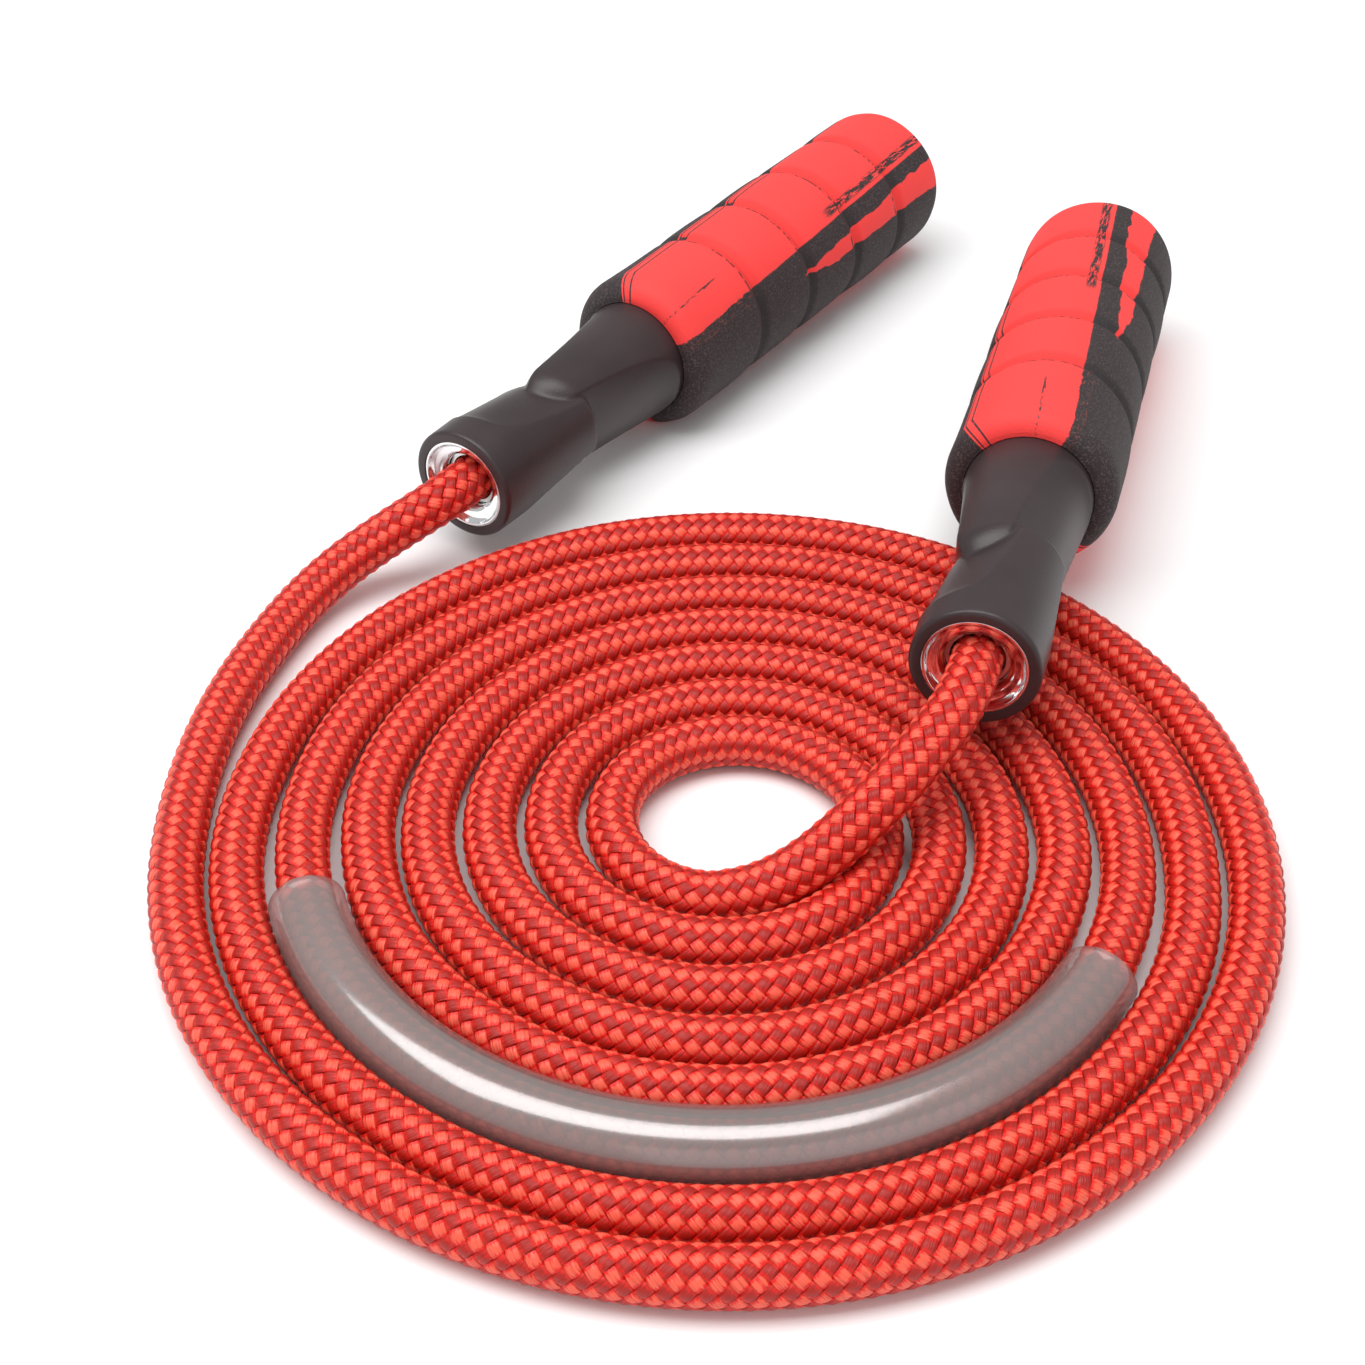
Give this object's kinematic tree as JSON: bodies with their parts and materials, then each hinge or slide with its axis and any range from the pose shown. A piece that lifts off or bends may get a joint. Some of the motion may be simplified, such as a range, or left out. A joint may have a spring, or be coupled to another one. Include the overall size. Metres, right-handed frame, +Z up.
{
  "type": "jump rope",
  "caption": "Braided jump rope laid in a flat spiral coil, with a foam-gripped bearing handle on each end and a clear floor sleeve.",
  "frame": {"origin": "centre of the coil, on the surface that it lies on", "axes": "+Z up, +X and +Y in the plane of the coil, with both handles towards +Y, the left one at -X"},
  "size_m": [0.2037, 0.3281, 0.0392],
  "materials": {
    "rope": "braided polyester, light and dark red diamonds",
    "clear_sleeve": "clear smoke-grey soft vinyl",
    "nose": "moulded plastic, satin, charcoal",
    "grip_foam": "closed-cell foam, printed coral red over charcoal",
    "collar": "bright plated cone",
    "bearing_steel": "ground bearing steel",
    "ball_steel": "polished",
    "cage": "pressed brass",
    "shield": "pressed sheet",
    "stop_alloy": "turned alloy",
    "screw_steel": "zinc-plated steel"
  },
  "bodies": {
    "rope": {"rope_coil": "rope", "rope_in_sleeve": "rope", "rope_lead_left": "rope", "rope_tail_left": "rope", "tail_crimp_left": "stop_alloy", "rope_stop_upper_left": "stop_alloy", "rope_stop_lower_left": "stop_alloy", "stop_screws_left": "screw_steel", "thrust_washer_left": "bearing_steel", "bearing_inner_left": "bearing_steel", "rope_lead_right": "rope", "rope_tail_right": "rope", "tail_crimp_right": "stop_alloy", "rope_stop_upper_right": "stop_alloy", "rope_stop_lower_right": "stop_alloy", "stop_screws_right": "screw_steel", "thrust_washer_right": "bearing_steel", "bearing_inner_right": "bearing_steel"},
    "handle_left": {"handle_body_left": "nose", "foam_grip_left": "grip_foam", "mouth_collar_left": "collar", "bearing_outer_left": "bearing_steel", "bearing_shield_front_left": "shield", "bearing_shield_rear_left": "shield"},
    "ball_set_left": {"bearing_cage_left": "cage", "bearing_balls_left": "ball_steel"},
    "cap_left": {"end_cap_left": "nose"},
    "handle_right": {"handle_body_right": "nose", "foam_grip_right": "grip_foam", "mouth_collar_right": "collar", "bearing_outer_right": "bearing_steel", "bearing_shield_front_right": "shield", "bearing_shield_rear_right": "shield"},
    "ball_set_right": {"bearing_cage_right": "cage", "bearing_balls_right": "ball_steel"},
    "cap_right": {"end_cap_right": "nose"},
    "sleeve": {"clear_sleeve": "clear_sleeve"}
  },
  "joints": [
    {"name": "handle_left_spin", "type": "hinge", "parent": "rope", "child": "handle_left", "pos_m": [-0.0521, 0.0865, 0.017], "axis": [0.565, 0.8251, 0], "continuous": true},
    {"name": "ball_set_left_spin", "type": "hinge", "parent": "rope", "child": "ball_set_left", "pos_m": [-0.0521, 0.0865, 0.017], "axis": [0.565, 0.8251, 0], "continuous": true},
    {"name": "cap_left_pull", "type": "slide", "parent": "handle_left", "child": "cap_left", "axis": [0.565, 0.8251, 0], "range_m": [0, 0.018]},
    {"name": "handle_right_spin", "type": "hinge", "parent": "rope", "child": "handle_right", "pos_m": [0.0425, 0.0178, 0.02551], "axis": [0.2796, 0.9587, -0.0523], "continuous": true},
    {"name": "ball_set_right_spin", "type": "hinge", "parent": "rope", "child": "ball_set_right", "pos_m": [0.0425, 0.0178, 0.02551], "axis": [0.2796, 0.9587, -0.0523], "continuous": true},
    {"name": "cap_right_pull", "type": "slide", "parent": "handle_right", "child": "cap_right", "axis": [0.2796, 0.9587, -0.0523], "range_m": [0, 0.018]},
    {"name": "sleeve_slide", "type": "hinge", "parent": "rope", "child": "sleeve", "pos_m": [-0.00212, 0.00025, 0], "axis": [0, 0, 1], "range_deg": [-8, 8]}
  ],
  "couplings": [
    {"joint": "ball_set_left_spin", "follows": "handle_left_spin", "ratio": 0.5821},
    {"joint": "ball_set_right_spin", "follows": "handle_right_spin", "ratio": 0.5821}
  ]
}
